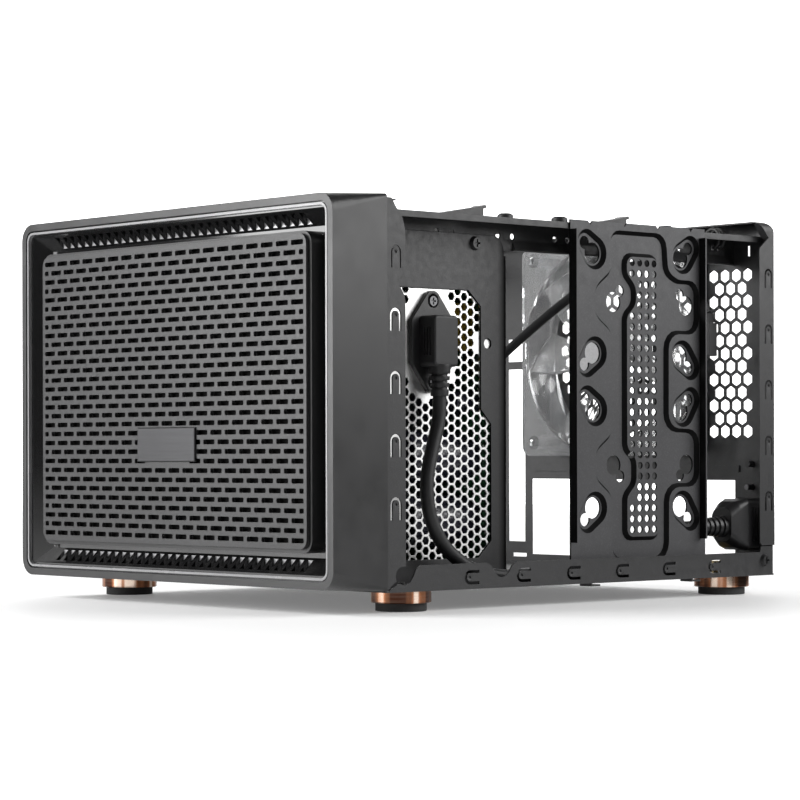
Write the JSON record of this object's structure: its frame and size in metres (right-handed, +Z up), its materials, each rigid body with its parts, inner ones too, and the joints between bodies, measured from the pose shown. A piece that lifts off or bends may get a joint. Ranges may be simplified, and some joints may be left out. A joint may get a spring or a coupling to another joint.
{
  "type": "mini-itx computer case",
  "caption": "Small desktop computer case with its cover off: folded steel chassis with power supply, clear rear fan and drive plate behind a deep framed mesh front on round feet.",
  "frame": {"origin": "centre of the footprint on the floor under the feet", "axes": "+X to the right seen from the front, +Y from the mesh front to the rear panel, +Z up"},
  "size_m": [0.2574, 0.319, 0.2004],
  "materials": {
    "bezel_plastic": "fine satin charcoal moulding",
    "lip_bright": "bright polished lip",
    "gloss_black": "gloss black moulding",
    "carrier_black": "satin black moulding",
    "filter_black": "fine black filter cloth",
    "mesh_paint": "dark grey powder coat",
    "badge_metal": "satin bare plate",
    "button_black": "satin black",
    "board_green": "coated circuit board",
    "shell_steel": "tinned steel shell",
    "jack_black": "moulded black",
    "chassis_black": "fine textured black powder coat",
    "screw_black": "black oxide steel",
    "screw_steel": "zinc plated steel",
    "psu_steel": "bare galvanised sheet",
    "wire_chrome": "plated wire",
    "fan_black": "moulded black",
    "fan_clear": "clear smoked moulding",
    "label_paper": "plain label",
    "heatsink_alu": "mill finish",
    "winding_yellow": "tape wrapped core",
    "cap_sleeve": "sleeved can",
    "cord_black": "jacketed cable",
    "pad_rubber": "soft rubber",
    "copper_chrome": "polished copper-toned plating",
    "standoff_brass": "turned brass",
    "tie_nylon": "nylon"
  },
  "bodies": {
    "chassis": {"front_bezel": "bezel_plastic", "trim_ring": "lip_bright", "vent_surround": "gloss_black", "mesh_carrier": "carrier_black", "dust_filter": "filter_black", "front_mesh": "mesh_paint", "badge_plate": "badge_metal", "io_board": "board_green", "usb_sockets": "shell_steel", "audio_jacks": "jack_black", "front_plate": "chassis_black", "base_tray": "chassis_black", "rear_panel": "chassis_black", "top_rail_right": "chassis_black", "top_rail_left": "chassis_black", "psu_bracket": "chassis_black", "drive_plate": "chassis_black", "case_screws": "screw_black", "psu_base": "psu_steel", "psu_cover": "psu_steel", "psu_fan_guard": "wire_chrome", "psu_fan_frame": "fan_black", "psu_inlet": "jack_black", "psu_pcb": "board_green", "psu_heatsinks": "heatsink_alu", "psu_transformers": "winding_yellow", "psu_capacitors": "cap_sleeve", "psu_grommet": "pad_rubber", "psu_pads": "pad_rubber", "psu_screws": "screw_steel", "power_plug": "cord_black", "power_cable": "cord_black", "rear_inlet": "jack_black", "inlet_screws": "screw_steel", "rear_fan_frame": "fan_clear", "rear_fan_screws": "screw_black", "front_panel_cable": "cord_black", "header_plug": "jack_black", "cable_tie": "tie_nylon", "standoffs": "standoff_brass", "foot_rings": "copper_chrome", "foot_pads": "pad_rubber", "foot_screws": "screw_steel"},
    "rear_fan": {"rear_fan_rotor": "fan_clear", "rear_fan_label": "label_paper"},
    "psu_fan": {"psu_fan_rotor": "fan_black"},
    "power_key": {"power_button": "button_black"},
    "reset_key": {"reset_button": "button_black"}
  },
  "joints": [
    {"name": "rear_fan_spin", "type": "hinge", "parent": "chassis", "child": "rear_fan", "pos_m": [0.01855, 0.1417, 0.1344], "axis": [0, 1, 0], "continuous": true},
    {"name": "psu_fan_spin", "type": "hinge", "parent": "chassis", "child": "psu_fan", "pos_m": [0.02925, -0.0943, 0.091], "axis": [0, 1, 0], "continuous": true},
    {"name": "power_press", "type": "slide", "parent": "chassis", "child": "power_key", "axis": [1, 0, 0], "range_m": [0, 0.0012], "stiffness_N_per_m": 800},
    {"name": "reset_press", "type": "slide", "parent": "chassis", "child": "reset_key", "axis": [1, 0, 0], "range_m": [0, 0.0008], "stiffness_N_per_m": 800}
  ]
}
